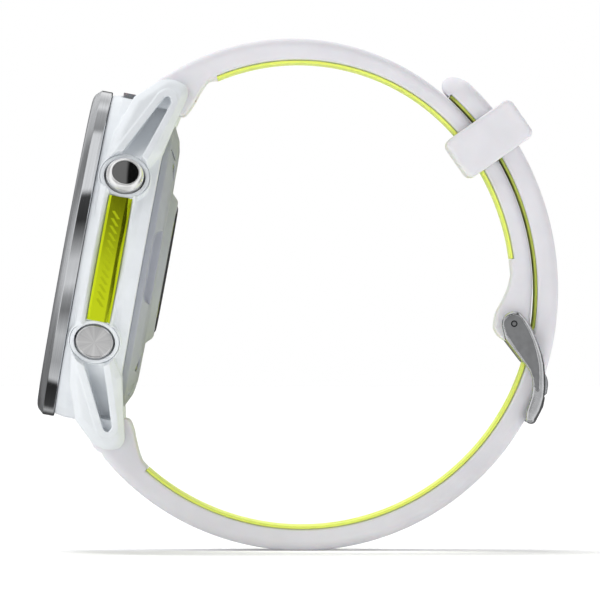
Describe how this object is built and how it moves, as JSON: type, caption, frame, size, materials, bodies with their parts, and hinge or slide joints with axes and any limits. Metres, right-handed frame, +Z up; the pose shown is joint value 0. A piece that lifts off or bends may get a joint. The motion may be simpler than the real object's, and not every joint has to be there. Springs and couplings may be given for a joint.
{
  "type": "gps running watch",
  "caption": "Round sports watch with push buttons, a raised optical sensor and a two-tone silicone strap, buckled into a wearing loop.",
  "frame": {"origin": "middle of the footprint at the lowest point of the strap loop, on which the watch stands", "axes": "+Z up the standing loop; the dial looks towards -X, leaning back 10.4 degrees; +Y along the lug bars, away from the 3 o'clock side"},
  "size_m": [0.0743, 0.0484, 0.0729],
  "materials": {
    "polymer_case": "fine matt moulded polymer, very light cool grey",
    "cover_polymer": "matt mid grey polymer",
    "strap_silicone": "matt white silicone with a faint lilac cast",
    "liner_silicone": "matt lime yellow silicone",
    "accent_metal": "lime metallic lacquer over facets",
    "bezel_metal": "satin brushed light metal",
    "polished_metal": "mirror polished",
    "satin_steel": "bead blasted satin steel",
    "glass": "clear polished glass over a black screen",
    "black_plastic": "black",
    "seal_rubber": "black seal rubber",
    "circuit_board": "green solder mask",
    "gold_contact": "gold plated",
    "battery_foil": "grey foil pouch",
    "light_window": "frosted translucent plastic"
  },
  "bodies": {
    "root": {"accent_insert": "accent_metal", "antenna_ring": "gold_contact", "back_seal": "seal_rubber", "back_switch": "satin_steel", "battery": "battery_foil", "bezel_gasket": "seal_rubber", "bezel_ring": "bezel_metal", "case_body": "polymer_case", "charging_contact_1": "gold_contact", "charging_contact_2": "gold_contact", "charging_contact_3": "gold_contact", "charging_contact_4": "gold_contact", "charging_socket": "black_plastic", "cover_gasket": "seal_rubber", "cover_screw_1": "satin_steel", "cover_screw_2": "satin_steel", "cover_screw_3": "satin_steel", "cover_screw_4": "satin_steel", "display_panel": "black_plastic", "down_seal": "seal_rubber", "down_switch": "satin_steel", "flashlight_board": "circuit_board", "flashlight_window": "light_window", "lens": "glass", "lens_gasket": "seal_rubber", "light_seal": "seal_rubber", "light_switch": "satin_steel", "lug_bar_lower": "satin_steel", "lug_bar_upper": "satin_steel", "main_board": "circuit_board", "motor_can": "satin_steel", "photodiode_1": "black_plastic", "photodiode_2": "black_plastic", "photodiode_3": "black_plastic", "rear_cover": "cover_polymer", "sensor_board": "circuit_board", "sensor_emitter": "light_window", "sensor_window": "glass", "speaker": "black_plastic", "start_seal": "seal_rubber", "start_switch": "satin_steel", "strap_liner_lower": "liner_silicone", "strap_liner_upper": "liner_silicone", "strap_lower": "strap_silicone", "strap_upper": "strap_silicone", "up_seal": "seal_rubber", "up_switch": "satin_steel"},
    "start_button": {"start_button": "polished_metal", "start_button_insert": "glass"},
    "back_button": {"back_button": "bezel_metal"},
    "light_button": {"light_button": "bezel_metal"},
    "up_button": {"up_button": "bezel_metal"},
    "down_button": {"down_button": "bezel_metal"},
    "keeper": {"keeper_loop": "strap_silicone"},
    "buckle": {"buckle_frame": "satin_steel", "buckle_pin": "satin_steel"},
    "tongue": {"buckle_tongue": "satin_steel"},
    "release_upper": {"release_pin_upper": "satin_steel"},
    "release_lower": {"release_pin_lower": "satin_steel"},
    "motor_rotor": {"motor_weight": "satin_steel"}
  },
  "joints": [
    {"name": "start_press", "type": "slide", "parent": "root", "child": "start_button", "axis": [-0.0889, 0.8704, -0.4843], "range_m": [0, 0.0006], "stiffness_N_per_m": 900},
    {"name": "back_press", "type": "slide", "parent": "root", "child": "back_button", "axis": [0.0889, 0.8704, 0.4843], "range_m": [0, 0.0006], "stiffness_N_per_m": 900},
    {"name": "light_press", "type": "slide", "parent": "root", "child": "light_button", "axis": [-0.0889, -0.8704, -0.4843], "range_m": [0, 0.0006], "stiffness_N_per_m": 900},
    {"name": "up_press", "type": "slide", "parent": "root", "child": "up_button", "axis": [0, -1, 0], "range_m": [0, 0.0006], "stiffness_N_per_m": 900},
    {"name": "down_press", "type": "slide", "parent": "root", "child": "down_button", "axis": [0.0889, -0.8704, 0.4843], "range_m": [0, 0.0006], "stiffness_N_per_m": 900},
    {"name": "keeper_slide", "type": "hinge", "parent": "root", "child": "keeper", "pos_m": [-0.00329, -0.0002, 0.0371], "axis": [0, 1, 0], "range_deg": [-8, 22]},
    {"name": "buckle_swing", "type": "hinge", "parent": "root", "child": "buckle", "pos_m": [0.03096, -0.0002, 0.0323], "axis": [0, -1, 0], "range_deg": [0, 5]},
    {"name": "tongue_swing", "type": "hinge", "parent": "buckle", "child": "tongue", "pos_m": [0.03096, -0.0002, 0.0323], "axis": [0, -1, 0], "range_deg": [0, 8]},
    {"name": "release_slide_upper", "type": "slide", "parent": "root", "child": "release_upper", "axis": [0, 1, 0], "range_m": [0, 0.0013], "stiffness_N_per_m": 700},
    {"name": "release_slide_lower", "type": "slide", "parent": "root", "child": "release_lower", "axis": [0, 1, 0], "range_m": [0, 0.0013], "stiffness_N_per_m": 700},
    {"name": "motor_spin", "type": "hinge", "parent": "root", "child": "motor_rotor", "pos_m": [-0.0267, -0.0002, 0.02667], "axis": [-0.9836, 0, 0.1805], "continuous": true}
  ]
}
